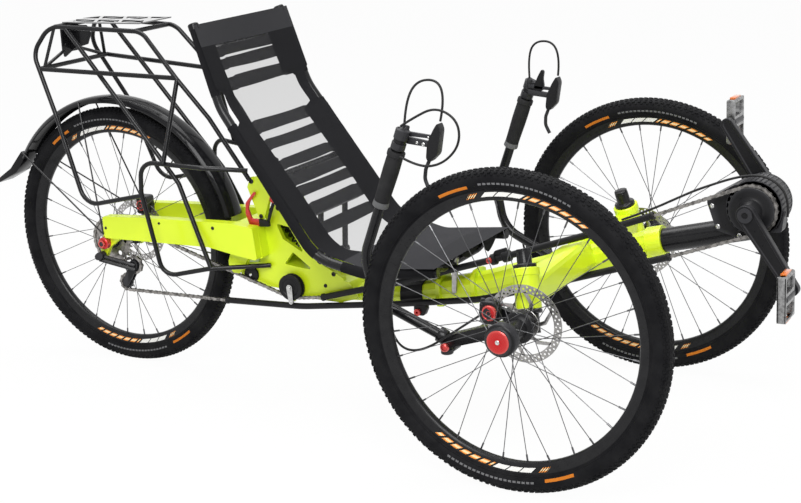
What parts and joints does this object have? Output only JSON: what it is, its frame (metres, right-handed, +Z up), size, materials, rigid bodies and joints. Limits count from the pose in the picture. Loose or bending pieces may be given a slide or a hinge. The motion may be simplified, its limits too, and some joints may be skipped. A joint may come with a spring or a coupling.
{
  "type": "recumbent trike",
  "caption": "Suspended tadpole recumbent trike with a folding frame, sling seat, rear rack and mudguard, geared bottom bracket and disc brakes.",
  "frame": {"origin": "on the floor, halfway along the length, in the middle plane", "axes": "+X forward, +Y to the rider's left, +Z up"},
  "size_m": [2.1165, 0.91, 0.884],
  "materials": {
    "lime_paint": "gloss",
    "black_paint": "gloss",
    "black_anodised": "satin",
    "red_anodised": "satin",
    "bare_steel": "satin",
    "tyre_rubber": "matte",
    "grip_rubber": "matte",
    "black_plastic": "matte",
    "seat_cloth": "matte"
  },
  "bodies": {
    "frame": {"main_frame": "lime_paint", "cross_member": "lime_paint", "fold_joint": "black_anodised", "boom": "black_paint", "gearbox_housing": "black_anodised", "gearbox_cables": "grip_rubber", "swing_arm": "lime_paint", "rear_axle": "red_anodised", "shock_absorber": "black_anodised", "seat_frame": "black_paint", "seat_cover": "seat_cloth", "seat_straps": "seat_cloth", "seat_mount": "lime_paint", "rear_rack": "black_paint", "rack_plate": "black_paint", "lamp_bracket": "black_paint", "rear_mudguard": "black_plastic", "mudguard_stays": "black_paint", "chain": "bare_steel", "chain_tubes": "black_plastic", "chain_tensioner": "black_anodised", "idler_pulleys": "black_plastic", "rear_brake_calliper": "black_anodised"},
    "crank": {"cranks": "black_anodised", "chainring": "bare_steel"},
    "right_pedal_body": {"right_pedal": "bare_steel"},
    "left_pedal_body": {"left_pedal": "bare_steel"},
    "rear_wheel": {"rear_tyre": "tyre_rubber", "rear_rim": "black_anodised", "rear_spokes": "bare_steel", "rear_hub": "black_anodised", "rear_rotor": "bare_steel", "rear_sprocket": "bare_steel"},
    "right_steering": {"right_knuckle": "black_anodised", "right_handlebar": "black_paint", "right_grip": "grip_rubber", "right_brake_lever": "black_anodised", "right_brake_calliper": "black_anodised", "right_brake_cables": "grip_rubber", "shift_cables": "grip_rubber"},
    "left_steering": {"left_knuckle": "black_anodised", "left_handlebar": "black_paint", "left_grip": "grip_rubber", "left_brake_lever": "black_anodised", "left_brake_calliper": "black_anodised", "left_brake_cables": "grip_rubber"},
    "front_right_wheel": {"front_right_tyre": "tyre_rubber", "front_right_rim": "black_anodised", "front_right_spokes": "bare_steel", "front_right_hub": "black_anodised", "front_right_rotor": "bare_steel"},
    "front_left_wheel": {"front_left_tyre": "tyre_rubber", "front_left_rim": "black_anodised", "front_left_spokes": "bare_steel", "front_left_hub": "black_anodised", "front_left_rotor": "bare_steel"},
    "track_rod": {"tie_rod": "black_anodised"}
  },
  "joints": [
    {"name": "crank_turn", "type": "hinge", "parent": "frame", "child": "crank", "pos_m": [0.9517, 0, 0.517], "axis": [0, 1, 0], "continuous": true},
    {"name": "right_pedal_turn", "type": "hinge", "parent": "crank", "child": "right_pedal_body", "pos_m": [1.04553, -0.144, 0.37524], "axis": [0, 1, 0], "continuous": true},
    {"name": "left_pedal_turn", "type": "hinge", "parent": "crank", "child": "left_pedal_body", "pos_m": [0.85787, 0.144, 0.65876], "axis": [0, 1, 0], "continuous": true},
    {"name": "rear_wheel_turn", "type": "hinge", "parent": "frame", "child": "rear_wheel", "pos_m": [-0.6683, 0, 0.327], "axis": [0, 1, 0], "continuous": true},
    {"name": "right_steer", "type": "hinge", "parent": "frame", "child": "right_steering", "pos_m": [0.5817, -0.30494, 0.327], "axis": [-0.1925, 0.2605, 0.9461], "range_deg": [-20, 20]},
    {"name": "left_steer", "type": "hinge", "parent": "frame", "child": "left_steering", "pos_m": [0.5817, 0.30494, 0.327], "axis": [-0.1925, -0.2605, 0.9461], "range_deg": [-20, 20]},
    {"name": "front_right_wheel_turn", "type": "hinge", "parent": "right_steering", "child": "front_right_wheel", "pos_m": [0.5817, -0.395, 0.327], "axis": [0, 1, 0], "continuous": true},
    {"name": "front_left_wheel_turn", "type": "hinge", "parent": "left_steering", "child": "front_left_wheel", "pos_m": [0.5817, 0.395, 0.327], "axis": [0, 1, 0], "continuous": true},
    {"name": "track_rod_turn", "type": "hinge", "parent": "right_steering", "child": "track_rod", "pos_m": [0.3907, -0.3, 0.238], "axis": [-0.0279, 0.2623, 0.9646], "range_deg": [-22, 22]}
  ],
  "couplings": [
    {"joint": "left_steer", "follows": "right_steer", "ratio": 1},
    {"joint": "track_rod_turn", "follows": "right_steer", "ratio": -1.075}
  ]
}
